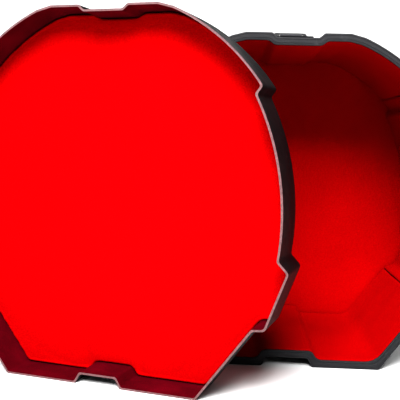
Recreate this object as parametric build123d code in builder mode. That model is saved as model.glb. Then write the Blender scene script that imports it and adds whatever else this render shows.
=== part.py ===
"""Moulded D-shaped drum case, open: a deep base and its lid, both standing on their flat sides.

Millimetres, +Z up. The origin is on the floor, under the middle of the base. The mouth of the base faces -Y.
The lid is off: it stands beside the base, its hollow side facing the same way, turned a little about +Z.
"""

from build123d import *
import math
import os

# ---- driving dimensions: the base ----
case_height = 520.0  # foot to top of the base
case_width = 525.0  # across the two hips
case_depth = 350.0  # mouth to closed end
wall = 4.0  # moulded wall of the base
end_wall = 6.0  # closed end of the base
end_chamfer = 7.0  # edge round the closed end
panel_radius = 165.0  # shallow round panel sunk into each closed end
panel_sink = 2.5

# ---- the shared outline, from the top centre down the right side ----
channel_floor = 64.0  # strap channel, width at its floor
channel_mouth = 80.0  # strap channel, width where it opens
top_channel = 7.0  # depth of the strap channel on top
foot_channel = 14.0  # in the foot
back_channel = 10.0  # and over the closed end
top_flat = 160.0  # width of the flat top land
shoulder_out = 21.0  # slope from the flat to the start of the big arc
shoulder_drop = 5.5
cheek_inset = 43.0  # the big arc ends this far inside the hips
cheek_drop = 102.0  # and this far below the top
cheek_bulge = 10.6  # height of the big arc over its chord
recess_step_in = 7.5  # the step into the recessed side
recess_step_drop = 10.0
recess_end_inset = 13.5  # where the recessed side ends, inside the hips
recess_end_rise = 14.0  # and above them
recess_bulge = 17.5
hip_height = 175.0
waist_inset = 26.0  # foot of the straight stretch below the hips
waist_height = 105.0
notch_in = 16.0  # short ledge under the straight stretch
notch_drop = 1.5
foot_width = 288.0  # flat foot, corner to corner

# ---- lining and edging of the base ----
lining = 8.0  # foam with a plush face, on the walls
floor_pad = 20.0  # foam at the closed end
edging_face = 3.0  # T-section edging on the mouth
edging_stem = 1.6
edging_stem_depth = 9.0
foam_gap = 0.3  # clearance round every foam piece
panel_angle_top = 47.0  # the four wall linings meet on these rays from the case centre
panel_angle_low = 126.0

# ---- the lid ----
lid_wall = 3.0
lid_clearance = 5.0  # all round, between the base and the inside of the lid
lid_depth = 87.0
lid_end_wall = 5.0
lid_chamfer = 5.0  # edge round its closed end, less than both its walls together
lid_pad_thickness = 32.0
lid_pad_gap = 1.0  # shadow gap between the pad and the skirt
lid_x = -278.0  # the lid's foot centre, measured from the base's
lid_ahead = 132.0  # its rim plane stands this far ahead of the base's mouth
lid_turn = 16.2  # degrees about +Z, right-hand edge forward

# ---- webbing, plates and fasteners ----
web_width = 50.0
web_thick = 2.0
seat_gap = 0.2  # webbing and plates lie this far off the shell
stand_off = 2.0  # the stowed strap hangs this far off the back
corner_round = 6.0  # rounded end of each strap channel
plate_thick = 1.5
plate_corner = 3.0
rivet_radius = 2.4
rivet_head = 5.0
rivet_head_high = 2.0
rivet_tail_high = 1.5  # the closed end inside
rivet_pitch = 26.0  # between the two rivets of a plate
hole_gap = 0.2
washer_radius = 7.0
washer_thick = 1.2
pocket_gap = 0.6  # foam is cut back this far round a washer
washer_pocket = 3.6  # depth of that cut

# ---- carrying handle ----
handle_middle = 240.0  # from the mouth to the middle of the handle
ring_span = 120.0  # between the two rings
ring_wire = 5.0
ring_inside = 42.0  # clear width of a ring
ring_rise = 20.0  # between its two bars
ring_gap = 0.4  # running clearance round a ring's bars
ring_bend = 4.0
barrel_wall = 2.0
handle_plate_length = 26.0
handle_plate_width = 44.0
handle_web = 38.0
handle_web_thick = 3.0
grip_length = 88.0
grip_width = 62.0
grip_thick = 16.0
grip_round = 6.0
grip_lift = 1.0  # the grip's middle lies this far above the webbing's

# ---- side-release buckle, ladder slide and stow loop ----
socket_front = 78.0  # from the mouth to the open end of the socket
socket_length = 52.0
socket_width = 61.0
socket_thick = 12.5
socket_bar_set = 5.0  # the bar lies this far inside the length of the socket and of the plug
bar_radius = 2.0
bar_gap = 0.3
ear_clear = 0.4  # between a buckle and the webbing beside it
socket_wall = 2.0
socket_web_wall = 3.0  # between the pocket and the webbing
socket_ramp = 14.0  # its top slopes up over this length from the bar
window_in = 18.0  # side windows of the socket, where the plug's arms are squeezed
window_near = 12.0  # from the open end
window_far = 28.0
eye_wall = 2.0
top_plate_length = 16.0
bottom_anchor = 60.0  # from the mouth to the bottom anchor's rivets
bottom_plate_length = 24.0
plug_base = 452.0  # height of the plug's bar on the back
plug_length = 52.0
plug_width = 61.0
plug_thick = 7.0
plug_body = 16.0  # length of the plug behind its prongs
prong_in = 14.0  # the two spring arms, from the middle to their inner faces
arm_wide = 5.0
barb_wide = 10.0
barb_long = 14.0
tongue_half = 4.0  # half the width of the middle prong
slide_height = 404.0  # middle of the ladder slide
slide_width = 60.0
slide_length = 40.0
slide_bar = 5.0
slide_thick = 3.0
loop_height = 366.0  # middle of the stow loop
loop_length = 18.0
loop_leaf = 1.5
loop_gap = 0.4

os.makedirs("parts", exist_ok=True)

# ---- worked out from the dimensions above ----
mouth_y = -case_depth / 2
back_y = case_depth / 2
half = case_width / 2
lid_grow = lid_clearance + lid_wall
base_plane = Plane(origin=(0, mouth_y, 0), x_dir=(1, 0, 0), z_dir=(0, -1, 0))
# the lid is drawn about its own rim, facing -Y, and put in its place when it is finished
lid_plane = Plane(origin=(0, 0, 0), x_dir=(1, 0, 0), z_dir=(0, -1, 0))
lid_place = Location((lid_x, mouth_y - lid_ahead, lid_grow), (0, 0, -lid_turn))
top_floor_z = case_height - top_channel
back_floor_y = back_y - back_channel
centre_z = case_height / 2


def right_side():
    """The right half of the outline from the top centre: each corner as x, y and the bulge after it."""
    cheek_x, cheek_y = half - cheek_inset, case_height - cheek_drop
    waist_x = half - waist_inset
    return [
        (0, case_height - top_channel, 0),
        (channel_floor / 2, case_height - top_channel, 0),
        (channel_mouth / 2, case_height, 0),
        (top_flat / 2, case_height, 0),
        (top_flat / 2 + shoulder_out, case_height - shoulder_drop, cheek_bulge),
        (cheek_x, cheek_y, 0),
        (cheek_x - recess_step_in, cheek_y - recess_step_drop, recess_bulge),
        (half - recess_end_inset, hip_height + recess_end_rise, 0),
        (half, hip_height, 0),
        (waist_x, waist_height, 0),
        (waist_x - notch_in, waist_height - notch_drop, 0),
        (foot_width / 2, 0, 0),
        (channel_mouth / 2, 0, 0),
        (channel_floor / 2, foot_channel, 0),
        (0, foot_channel, 0),
    ]


def turned(direction, angle):
    """The direction turned anticlockwise by angle, in radians."""
    x, y = direction
    return (x * math.cos(angle) - y * math.sin(angle), x * math.sin(angle) + y * math.cos(angle))


def outline(grow):
    """The case outline as a face, its walls moved outwards by grow; x is across, y is up."""
    corners = right_side()
    legs = []  # for each stretch: its direction at the start, at the end, and its bulge
    for (x0, y0, bulge), (x1, y1, _) in zip(corners, corners[1:]):
        chord = math.hypot(x1 - x0, y1 - y0)
        along = ((x1 - x0) / chord, (y1 - y0) / chord)
        swing = 2 * math.atan2(2 * bulge, chord)
        legs.append((turned(along, swing), turned(along, -swing), along, bulge))
    moved = []
    for i, (x, y, _) in enumerate(corners):
        before = legs[i - 1][1] if i else (1, 0)
        after = legs[i][0] if i < len(legs) else (-1, 0)
        share = 1 + before[0] * after[0] + before[1] * after[1]
        out = ((-before[1] - after[1]) / share, (before[0] + after[0]) / share)
        moved.append((x + grow * out[0], y + grow * out[1]))
    with BuildSketch() as flat:
        with BuildLine():
            for i, (_, _, along, bulge) in enumerate(legs):
                start, end = moved[i], moved[i + 1]
                if bulge:
                    middle_x = (corners[i][0] + corners[i + 1][0]) / 2 - along[1] * (bulge + grow)
                    middle_y = (corners[i][1] + corners[i + 1][1]) / 2 + along[0] * (bulge + grow)
                    ThreePointArc(start, (middle_x, middle_y), end)
                else:
                    Line(start, end)
            mirror(about=Plane.YZ)
        make_face()
    return flat.sketch


def ring_sketch(outer, inner):
    """The outline grown by outer, less the outline grown by inner."""
    with BuildSketch() as band:
        add(outline(outer))
        add(outline(inner), mode=Mode.SUBTRACT)
    return band.sketch


def finish(part, name, place=Location()):
    piece = part.part.moved(place)
    piece.label = name
    export_step(piece, f"parts/{name}.step")


def box_between(x, y, z, mode=Mode.ADD):
    """A box from three (low, high) pairs."""
    with Locations(((x[0] + x[1]) / 2, (y[0] + y[1]) / 2, (z[0] + z[1]) / 2)):
        Box(x[1] - x[0], y[1] - y[0], z[1] - z[0], mode=mode)


# ---- where the rivets are: (x, y) on the top channel and on the bottom channel ----
handle_y = mouth_y + handle_middle
ring_front_y = handle_y - ring_span / 2
ring_rear_y = handle_y + ring_span / 2
rivet_xs = (-rivet_pitch / 2, rivet_pitch / 2)
socket_bar_y = mouth_y + socket_front + socket_length - socket_bar_set
top_plate_far = ring_front_y - handle_plate_length - 1
top_plate_near = top_plate_far - top_plate_length
top_rivet_y = (top_plate_near + top_plate_far) / 2
bottom_rivet_y = mouth_y + bottom_anchor
front_rivet_y = ring_front_y - handle_plate_length * 0.6
rear_rivet_y = ring_rear_y + handle_plate_length * 0.6
handle_rivets_at = [(x, y) for x in rivet_xs for y in (front_rivet_y, rear_rivet_y)]
top_rivets_at = [(x, top_rivet_y) for x in rivet_xs]
bottom_rivets_at = [(x, bottom_rivet_y) for x in rivet_xs]
keeper_rivets_at = [(x, loop_height) for x in rivet_xs]
eye_radius = bar_radius + bar_gap + eye_wall


def drill(points, low, high, radius):
    """Vertical holes at the points, from low to high."""
    for x, y in points:
        with Locations((x, y, (low + high) / 2)):
            Cylinder(radius, high - low, mode=Mode.SUBTRACT)


# ---- base shell ----
with BuildPart() as base_shell:
    with BuildSketch(base_plane):
        add(outline(0))
    extrude(amount=-case_depth)
    chamfer(faces().sort_by(Axis.Y)[-1].edges(), end_chamfer)
    with BuildSketch(base_plane.offset(1)):
        add(outline(-wall))
    extrude(amount=-(case_depth - end_wall + 1), mode=Mode.SUBTRACT)
    ridge = channel_floor / 2 + wall
    box_between(
        (-ridge, ridge),
        (back_floor_y - end_wall, back_y - end_wall / 2),
        (foot_channel, top_floor_z),
    )
    box_between(
        (-channel_floor / 2, channel_floor / 2),
        (back_floor_y, back_y + 1),
        (-1, case_height + 1),
        Mode.SUBTRACT,
    )
    with BuildSketch(base_plane.offset(-case_depth)):
        with Locations((0, centre_z)):
            Circle(panel_radius)
    extrude(amount=panel_sink, mode=Mode.SUBTRACT)
    for corner_z in (foot_channel, top_floor_z):
        corners = edges().filter_by(Axis.X).sort_by_distance((0, back_floor_y, corner_z))
        fillet(corners[0], corner_round)
    drill(handle_rivets_at, top_floor_z - wall - 1, case_height, rivet_radius + hole_gap)
    drill(top_rivets_at, top_floor_z - wall - 1, case_height, rivet_radius + hole_gap)
    drill(bottom_rivets_at, 0, foot_channel + wall + 1, rivet_radius + hole_gap)
    for x, z in keeper_rivets_at:
        with Locations(Plane((x, back_floor_y, z), z_dir=(0, 1, 0))):
            Cylinder(rivet_radius + hole_gap, 3 * end_wall, mode=Mode.SUBTRACT)
finish(base_shell, "base_shell")


# ---- edging on the mouth: a flat face with a stem pressed between the wall and the lining ----
stem_out = -wall - foam_gap
stem_in = stem_out - edging_stem
lining_in = -wall - foam_gap - lining
with BuildPart() as base_edging:
    with BuildSketch(base_plane):
        add(ring_sketch(0, lining_in))
    extrude(amount=edging_face)
    with BuildSketch(base_plane):
        add(ring_sketch(stem_out, stem_in))
    extrude(amount=-edging_stem_depth)
finish(base_edging, "base_edging")

# ---- foam at the closed end of the base ----
pad_back_y = back_y - end_wall - foam_gap
pad_front_y = pad_back_y - floor_pad
with BuildPart() as base_floor_pad:
    with BuildSketch(Plane(origin=(0, pad_back_y, 0), x_dir=(1, 0, 0), z_dir=(0, -1, 0))):
        add(outline(-wall - foam_gap))
    extrude(amount=floor_pad)
    box_between(
        (-ridge - foam_gap, ridge + foam_gap),
        (back_floor_y - end_wall - foam_gap, back_y),
        (0, case_height),
        Mode.SUBTRACT,
    )
    for x, z in keeper_rivets_at:
        with Locations(Plane((x, back_floor_y - end_wall, z), z_dir=(0, 1, 0))):
            Cylinder(washer_radius + pocket_gap, 2 * washer_pocket, mode=Mode.SUBTRACT)
finish(base_floor_pad, "base_floor_pad")

# ---- plush-faced foam on the walls of the base, in four panels ----
gap_angle = math.degrees(foam_gap / case_height)
lining_length = pad_front_y - foam_gap - mouth_y
panel_angles = {
    "top": (-panel_angle_top, panel_angle_top),
    "right": (panel_angle_top, panel_angle_low),
    "bottom": (panel_angle_low, 360 - panel_angle_low),
    "left": (360 - panel_angle_low, 360 - panel_angle_top),
}
for side, (first, last) in panel_angles.items():
    spread = [first + gap_angle + (last - first - 2 * gap_angle) * step / 4 for step in range(5)]
    rays = [(case_width * math.sin(math.radians(a)), case_width * math.cos(math.radians(a))) for a in spread]
    with BuildPart() as base_lining:
        with BuildSketch(base_plane):
            add(ring_sketch(-wall - foam_gap, lining_in))
            with BuildSketch(mode=Mode.INTERSECT):
                with BuildLine():
                    Polyline((0, centre_z), *[(x, centre_z + y) for x, y in rays], close=True)
                make_face()
        extrude(amount=-lining_length)
        with BuildSketch(base_plane):
            add(ring_sketch(0, stem_in - foam_gap))
        extrude(amount=-(edging_stem_depth + foam_gap), mode=Mode.SUBTRACT)
        for points, face_z in (
            (handle_rivets_at + top_rivets_at, top_floor_z - wall),
            (bottom_rivets_at, foot_channel + wall),
        ):
            drill(points, face_z - washer_pocket, face_z + washer_pocket, washer_radius + pocket_gap)
    finish(base_lining, f"base_lining_{side}")

# ---- lid shell ----
channel_slope = math.atan2(foot_channel, (channel_mouth - channel_floor) / 2)
lid_channel = channel_floor - 2 * lid_grow * math.tan(channel_slope / 2)
lid_low_z = foot_channel + lid_grow
lid_top_z = case_height - top_channel + lid_grow
with BuildPart() as lid_shell:
    with BuildSketch(lid_plane):
        add(outline(lid_grow))
    extrude(amount=-lid_depth)
    chamfer(faces().sort_by(Axis.Y)[-1].edges(), lid_chamfer)
    with BuildSketch(lid_plane.offset(1)):
        add(outline(lid_clearance))
    extrude(amount=-(lid_depth - lid_end_wall + 1), mode=Mode.SUBTRACT)
    with BuildSketch(lid_plane.offset(-(lid_depth - back_channel - lid_end_wall))):
        with Locations((0, centre_z)):
            Rectangle(lid_channel + 2 * lid_wall, lid_top_z - lid_low_z)
    extrude(amount=-(back_channel + lid_end_wall / 2))
    with BuildSketch(lid_plane.offset(-(lid_depth - back_channel))):
        with Locations((0, centre_z)):
            Rectangle(lid_channel, 2 * case_height)
    extrude(amount=-2 * back_channel, mode=Mode.SUBTRACT)
    with BuildSketch(lid_plane.offset(-lid_depth)):
        with Locations((0, centre_z)):
            Circle(panel_radius)
    extrude(amount=panel_sink, mode=Mode.SUBTRACT)
finish(lid_shell, "lid_shell", lid_place)

# ---- thick foam pad in the lid ----
pad_start = lid_depth - lid_end_wall - foam_gap - lid_pad_thickness
with BuildPart() as lid_pad:
    with BuildSketch(lid_plane.offset(-pad_start)):
        add(outline(lid_clearance - lid_pad_gap))
    extrude(amount=-lid_pad_thickness)
    with BuildSketch(lid_plane.offset(-(lid_depth - back_channel - lid_end_wall - foam_gap))):
        with Locations((0, centre_z)):
            Rectangle(lid_channel + 2 * lid_wall + 2 * foam_gap, 2 * case_height)
    extrude(amount=-lid_depth, mode=Mode.SUBTRACT)
finish(lid_pad, "lid_pad", lid_place)


# ---- rivets and washers; out is +1 where the head faces up, -1 where it faces down ----
def rivet(x, y, inner_z, outer_z, out):
    """A vertical rivet from the inside of the washer at inner_z to the plate's face at outer_z."""
    with Locations((x, y, (inner_z + outer_z) / 2)):
        Cylinder(rivet_radius, abs(outer_z - inner_z))
    with Locations((x, y, outer_z + out * rivet_head_high / 2)):
        Cylinder(rivet_head, rivet_head_high)
    with Locations((x, y, inner_z - out * rivet_tail_high / 2)):
        Cylinder(rivet_head - 1, rivet_tail_high)


def washer(x, y, low_z):
    with Locations((x, y, low_z + washer_thick / 2)):
        Cylinder(washer_radius, washer_thick)
        Cylinder(rivet_radius + hole_gap, washer_thick, mode=Mode.SUBTRACT)


ceiling_z = top_floor_z - wall
ground_z = foot_channel + wall
handle_plate_z = top_floor_z + plate_thick
top_web_z = top_floor_z + seat_gap + web_thick
bottom_web_z = foot_channel - seat_gap - web_thick
with BuildPart() as handle_rivets:
    for x, y in handle_rivets_at:
        rivet(x, y, ceiling_z - washer_thick, handle_plate_z, 1)
finish(handle_rivets, "handle_rivets")
with BuildPart() as handle_washers:
    for x, y in handle_rivets_at:
        washer(x, y, ceiling_z - washer_thick)
finish(handle_washers, "handle_washers")
with BuildPart() as strap_rivets:
    for x, y in top_rivets_at:
        rivet(x, y, ceiling_z - washer_thick, top_web_z + plate_thick, 1)
    for x, y in bottom_rivets_at:
        rivet(x, y, ground_z + washer_thick, bottom_web_z - plate_thick, -1)
finish(strap_rivets, "strap_rivets")
with BuildPart() as strap_washers:
    for x, y in top_rivets_at:
        washer(x, y, ceiling_z - washer_thick)
    for x, y in bottom_rivets_at:
        washer(x, y, ground_z)
finish(strap_washers, "strap_washers")

# ---- short strap on top, its plate, and the socket of the buckle ----
half_web = web_width / 2
socket_bar_z = top_floor_z + seat_gap + eye_radius
with BuildPart() as top_strap:
    box_between(
        (-half_web, half_web), (socket_bar_y, top_plate_far), (top_floor_z + seat_gap, top_web_z)
    )
    with Locations(Plane((0, socket_bar_y, socket_bar_z), z_dir=(1, 0, 0))):
        Cylinder(eye_radius, web_width)
        Cylinder(bar_radius + bar_gap, web_width, mode=Mode.SUBTRACT)
    drill(top_rivets_at, top_floor_z, top_web_z + 1, rivet_radius + hole_gap)
finish(top_strap, "top_strap")
with BuildPart() as top_anchor_plate:
    box_between(
        (-half_web, half_web), (top_plate_near, top_plate_far), (top_web_z, top_web_z + plate_thick)
    )
    fillet(edges().filter_by(Axis.Z), plate_corner)
    drill(top_rivets_at, top_web_z - 1, top_web_z + 3, rivet_radius + hole_gap)
finish(top_anchor_plate, "top_anchor_plate")

# the socket, drawn from the side about its bar; +y is towards its open end
socket_side = Plane((0, socket_bar_y, socket_bar_z), x_dir=(0, -1, 0), z_dir=(-1, 0, 0))
socket_reach = socket_length - socket_bar_set
socket_low = eye_radius - ear_clear
with BuildPart() as buckle_socket:
    with BuildSketch(socket_side):
        with BuildLine():
            Polyline(
                (0, -socket_low),
                (socket_reach, -socket_low),
                (socket_reach, socket_thick - socket_low - 2),
                (socket_reach - 4, socket_thick - socket_low),
                (socket_ramp, socket_thick - socket_low),
                (0, socket_low),
            )
            ThreePointArc((0, socket_low), (-socket_low, 0), (0, -socket_low))
        make_face()
    extrude(amount=socket_width / 2, both=True)
    box_between(
        (-half_web - ear_clear, half_web + ear_clear),
        (socket_bar_y - eye_radius - ear_clear, socket_bar_y + eye_radius + 1),
        (socket_bar_z - socket_thick, socket_bar_z + socket_thick),
        Mode.SUBTRACT,
    )
    pocket_high = socket_thick - 2 * socket_wall
    pocket_z = socket_bar_z - socket_low + socket_wall
    box_between(
        (-half_web, half_web),
        (socket_bar_y - socket_reach - 1, socket_bar_y - eye_radius - ear_clear - socket_web_wall),
        (pocket_z, pocket_z + pocket_high),
        Mode.SUBTRACT,
    )
    for side in (-1, 1):
        box_between(
            sorted((side * window_in, side * socket_width)),
            (socket_bar_y - socket_reach + window_near, socket_bar_y - socket_reach + window_far),
            (pocket_z, pocket_z + pocket_high),
            Mode.SUBTRACT,
        )
    with Locations(Plane((0, socket_bar_y, socket_bar_z), z_dir=(1, 0, 0))):
        Cylinder(bar_radius, socket_width - 2)
finish(buckle_socket, "buckle_socket")

# ---- long strap: from its plate under the base, round the closed end and up to the plug ----
strap_y = back_floor_y + stand_off + web_thick / 2
strap_z = bottom_web_z + web_thick / 2
slide_low = stand_off + web_thick + loop_gap / 2
hump_y = back_floor_y + slide_low + slide_thick + loop_gap / 2 + web_thick / 2
plug_bar_y = back_floor_y + eye_radius + foam_gap
strap_route = [
    (bottom_rivet_y - bottom_plate_length / 2 - 2, strap_z),
    (strap_y, strap_z),
    (strap_y, slide_height - slide_length / 2 + slide_bar),
    (hump_y, slide_height - slide_bar),
    (hump_y, slide_height + slide_bar),
    (strap_y, slide_height + slide_length / 2 - slide_bar),
    (strap_y, plug_base - eye_radius + eye_wall / 2),
]
with BuildPart() as bottom_strap:
    with BuildSketch(Plane.YZ):
        with BuildLine():
            FilletPolyline(*strap_route, radius=[corner_round + web_thick, 3, 3, 3, 3])
        trace(line_width=web_thick)
    extrude(amount=half_web, both=True)
    with Locations(Plane((0, plug_bar_y, plug_base), z_dir=(1, 0, 0))):
        Cylinder(eye_radius, web_width)
        Cylinder(bar_radius + bar_gap, web_width, mode=Mode.SUBTRACT)
    drill(bottom_rivets_at, 0, foot_channel, rivet_radius + hole_gap)
finish(bottom_strap, "bottom_strap")
with BuildPart() as bottom_anchor_plate:
    box_between(
        (-half_web, half_web),
        (bottom_rivet_y - bottom_plate_length / 2, bottom_rivet_y + bottom_plate_length / 2),
        (bottom_web_z - plate_thick, bottom_web_z),
    )
    fillet(edges().filter_by(Axis.Z), plate_corner)
    drill(bottom_rivets_at, 0, foot_channel, rivet_radius + hole_gap)
finish(bottom_anchor_plate, "bottom_anchor_plate")

# ---- the plug, drawn from the side about its bar; +x is up the back ----
plug_side = Plane((0, plug_bar_y, plug_base), x_dir=(0, 0, 1), z_dir=(1, 0, 0))
plug_half = plug_thick / 2
plug_reach = plug_length - socket_bar_set
plug_body_top = plug_base + plug_body
prong_top = plug_base + plug_reach
with BuildPart() as buckle_plug:
    with BuildSketch(plug_side):
        with BuildLine():
            Polyline((0, plug_half), (plug_body, plug_half), (plug_body, -plug_half), (0, -plug_half))
            ThreePointArc((0, -plug_half), (-plug_half, 0), (0, plug_half))
        make_face()
    extrude(amount=plug_width / 2, both=True)
    box_between(
        (-half_web - ear_clear, half_web + ear_clear),
        (plug_bar_y - plug_thick, plug_bar_y + plug_thick),
        (plug_base - eye_radius - 1, plug_base + eye_radius + ear_clear),
        Mode.SUBTRACT,
    )
    with Locations(Plane((0, plug_bar_y, plug_base), z_dir=(1, 0, 0))):
        Cylinder(bar_radius, plug_width - 2)
    prong_y = (plug_bar_y - plug_half + 0.5, plug_bar_y + plug_half - 0.5)
    box_between((-tongue_half, tongue_half), prong_y, (plug_body_top - 1, prong_top - 3))
    for side in (-1, 1):
        arm = sorted((side * prong_in, side * (prong_in + arm_wide)))
        box_between(arm, prong_y, (plug_body_top - 1, prong_top))
        barb = sorted((side * prong_in, side * (prong_in + barb_wide)))
        box_between(barb, prong_y, (prong_top - 6 - barb_long, prong_top - 6))
finish(buckle_plug, "buckle_plug")

# ---- ladder slide on the long strap, and the loop that holds the stowed strap ----
slide_y = (back_floor_y + slide_low, back_floor_y + slide_low + slide_thick)
with BuildPart() as ladder_slide:
    box_between(
        (-slide_width / 2, slide_width / 2),
        slide_y,
        (slide_height - slide_length / 2, slide_height + slide_length / 2),
    )
    fillet(edges().filter_by(Axis.Y), plate_corner)
    for end in (-1, 1):
        inner = slide_height + end * slide_bar / 2
        outer = slide_height + end * (slide_length / 2 - slide_bar)
        box_between(
            (-half_web - ear_clear, half_web + ear_clear),
            (back_floor_y, back_y + 5),
            (min(inner, outer), max(inner, outer)),
            Mode.SUBTRACT,
        )
finish(ladder_slide, "ladder_slide")
loop_inner = stand_off + web_thick + loop_gap
loop_z = (loop_height - loop_length / 2, loop_height + loop_length / 2)
with BuildPart() as stow_loop:
    reach = half_web + loop_gap
    box_between(
        (-reach - loop_leaf, reach + loop_leaf),
        (back_floor_y, back_floor_y + loop_inner + loop_leaf),
        loop_z,
    )
    box_between(
        (-reach, reach),
        (back_floor_y + loop_leaf, back_floor_y + loop_inner),
        (loop_z[0] - 1, loop_z[1] + 1),
        Mode.SUBTRACT,
    )
    for x, z in keeper_rivets_at:
        with Locations(Plane((x, back_floor_y, z), z_dir=(0, 1, 0))):
            Cylinder(rivet_radius + hole_gap, 4 * loop_leaf - 1, mode=Mode.SUBTRACT)
finish(stow_loop, "stow_loop")
loop_rivet_in = back_floor_y - end_wall - washer_thick
with BuildPart() as loop_rivets:
    for x, z in keeper_rivets_at:
        length = back_floor_y + loop_leaf - loop_rivet_in
        with Locations(Plane((x, loop_rivet_in + length / 2, z), z_dir=(0, 1, 0))):
            Cylinder(rivet_radius, length)
        with Locations(Plane((x, loop_rivet_in - rivet_tail_high / 2, z), z_dir=(0, 1, 0))):
            Cylinder(rivet_head - 1, rivet_tail_high)
finish(loop_rivets, "loop_rivets")

# ---- carrying handle: two riveted plates, two rings, webbing and a moulded grip ----
ring_low_z = top_floor_z + ring_wire / 2 + ring_gap + barrel_wall
ring_top_z = ring_low_z + ring_rise
barrel_radius = ring_wire / 2 + ring_gap + barrel_wall
bar_hole = ring_wire / 2 + ring_gap
ring_half = ring_inside / 2 + ring_wire / 2
for end, ring_y, out in (("front", ring_front_y, -1), ("rear", ring_rear_y, 1)):
    plate_y = sorted((ring_y, ring_y + out * handle_plate_length))
    here = [(x, y) for x, y in handle_rivets_at if plate_y[0] < y < plate_y[1]]
    bar = Plane((0, ring_y, ring_low_z), z_dir=(1, 0, 0))
    with BuildPart() as handle_plate:
        box_between(
            (-handle_plate_width / 2, handle_plate_width / 2), plate_y, (top_floor_z, handle_plate_z)
        )
        fillet(edges().filter_by(Axis.Z).group_by(Axis.Y)[0 if out < 0 else -1], plate_corner)
        shoulder_x = handle_plate_width / 2 + 1
        box_between(
            (handle_web / 2, shoulder_x),
            (ring_y - barrel_radius - 1, ring_y + barrel_radius + 1),
            (top_floor_z - 1, handle_plate_z + 1),
            Mode.SUBTRACT,
        )
        box_between(
            (-shoulder_x, -handle_web / 2),
            (ring_y - barrel_radius - 1, ring_y + barrel_radius + 1),
            (top_floor_z - 1, handle_plate_z + 1),
            Mode.SUBTRACT,
        )
        with Locations(bar):
            Cylinder(barrel_radius, handle_web)
            Cylinder(bar_hole, handle_web, mode=Mode.SUBTRACT)
        drill(here, top_floor_z - 1, handle_plate_z + 1, rivet_radius + hole_gap)
    finish(handle_plate, f"handle_plate_{end}")
    with BuildPart() as handle_ring:
        ring_plane = Plane((0, ring_y, ring_low_z + ring_rise / 2), x_dir=(1, 0, 0), z_dir=(0, -1, 0))
        with BuildLine(ring_plane) as ring_path:
            ring_corners = [(-1, -1), (1, -1), (1, 1), (-1, 1)]
            FilletPolyline(
                *[(x * ring_half, y * ring_rise / 2) for x, y in ring_corners],
                radius=ring_bend,
                close=True,
            )
        with BuildSketch(ring_path.line ^ 0):
            Circle(ring_wire / 2)
        sweep(path=ring_path.line)
    finish(handle_ring, f"handle_ring_{end}")

with BuildPart() as handle_webbing:
    box_between(
        (-handle_web / 2, handle_web / 2),
        (ring_front_y, ring_rear_y),
        (ring_top_z - handle_web_thick / 2, ring_top_z + handle_web_thick / 2),
    )
    for ring_y in (ring_front_y, ring_rear_y):
        with Locations(Plane((0, ring_y, ring_top_z), z_dir=(1, 0, 0))):
            Cylinder(barrel_radius, handle_web)
    for ring_y in (ring_front_y, ring_rear_y):
        with Locations(Plane((0, ring_y, ring_top_z), z_dir=(1, 0, 0))):
            Cylinder(bar_hole, handle_web, mode=Mode.SUBTRACT)
finish(handle_webbing, "handle_webbing")
grip_end = Plane(
    (0, handle_y - grip_length / 2, ring_top_z + grip_lift), x_dir=(1, 0, 0), z_dir=(0, -1, 0)
)
with BuildPart() as handle_grip:
    with BuildSketch(grip_end):
        RectangleRounded(grip_width, grip_thick, grip_round)
        with Locations((0, -grip_lift)):
            Rectangle(handle_web + 2 * foam_gap, handle_web_thick + 2 * foam_gap, mode=Mode.SUBTRACT)
    extrude(amount=-grip_length)
finish(handle_grip, "handle_grip")
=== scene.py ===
# %% [markdown]
# # An open drum case
# A moulded D-shaped drum case in two pieces, a deep base and its lid, both lined with red plush over foam.
# The CAD model already holds every piece at its real size and place, so this script never moves a piece: it
# gives each one the softness, the rounded edges and the finish of the real thing. Everything is in metres,
# with +Z up, and the mouth of the base faces -Y.

# %% Load the frame
import bpy, bmesh, math
from mathutils import Matrix, Vector, noise
from mathutils.bvhtree import BVHTree


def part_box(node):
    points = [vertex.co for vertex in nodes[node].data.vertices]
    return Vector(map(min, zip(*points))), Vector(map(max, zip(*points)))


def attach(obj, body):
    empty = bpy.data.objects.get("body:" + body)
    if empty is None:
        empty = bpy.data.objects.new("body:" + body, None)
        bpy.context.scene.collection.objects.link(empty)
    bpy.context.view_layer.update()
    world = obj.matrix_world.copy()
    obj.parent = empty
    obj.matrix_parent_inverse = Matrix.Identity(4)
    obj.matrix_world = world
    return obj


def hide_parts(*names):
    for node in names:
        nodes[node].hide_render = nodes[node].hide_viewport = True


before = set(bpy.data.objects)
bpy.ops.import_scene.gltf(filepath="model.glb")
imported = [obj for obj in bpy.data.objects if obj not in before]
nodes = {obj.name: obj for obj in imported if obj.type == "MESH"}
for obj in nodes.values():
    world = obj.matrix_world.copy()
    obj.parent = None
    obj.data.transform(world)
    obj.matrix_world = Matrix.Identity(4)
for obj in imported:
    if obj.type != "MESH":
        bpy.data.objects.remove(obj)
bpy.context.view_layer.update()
MM = 0.001
print("CAD pieces:", len(nodes))

# %% [markdown]
# The camera stands a little above the middle of the case and to its left, turned slightly and tipped down,
# as someone would look at the case on a studio table. It is made first, so that every later look at the
# scene is the one that matters.

# %% Camera
base_low, base_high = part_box("base_shell")
camera_at = Vector((-0.091, base_low.y - 1.167, 0.361))
look_left, look_down, lean = 2.6, 4.96, 1.53  # degrees
camera_data = bpy.data.cameras.new("camera")
camera_data.sensor_width = 36.0
camera_data.lens = 67.5
camera = bpy.data.objects.new("camera", camera_data)
turn = Matrix.Rotation(math.radians(look_left), 4, "Z")
tip = Matrix.Rotation(math.radians(90 - look_down), 4, "X")
roll = Matrix.Rotation(math.radians(lean), 4, "Z")
camera.matrix_world = Matrix.Translation(camera_at) @ turn @ tip @ roll
bpy.context.scene.collection.objects.link(camera)
bpy.context.scene.camera = camera
print("camera is", round(base_low.y - camera_at.y, 3), "m ahead of the mouth")

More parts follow.
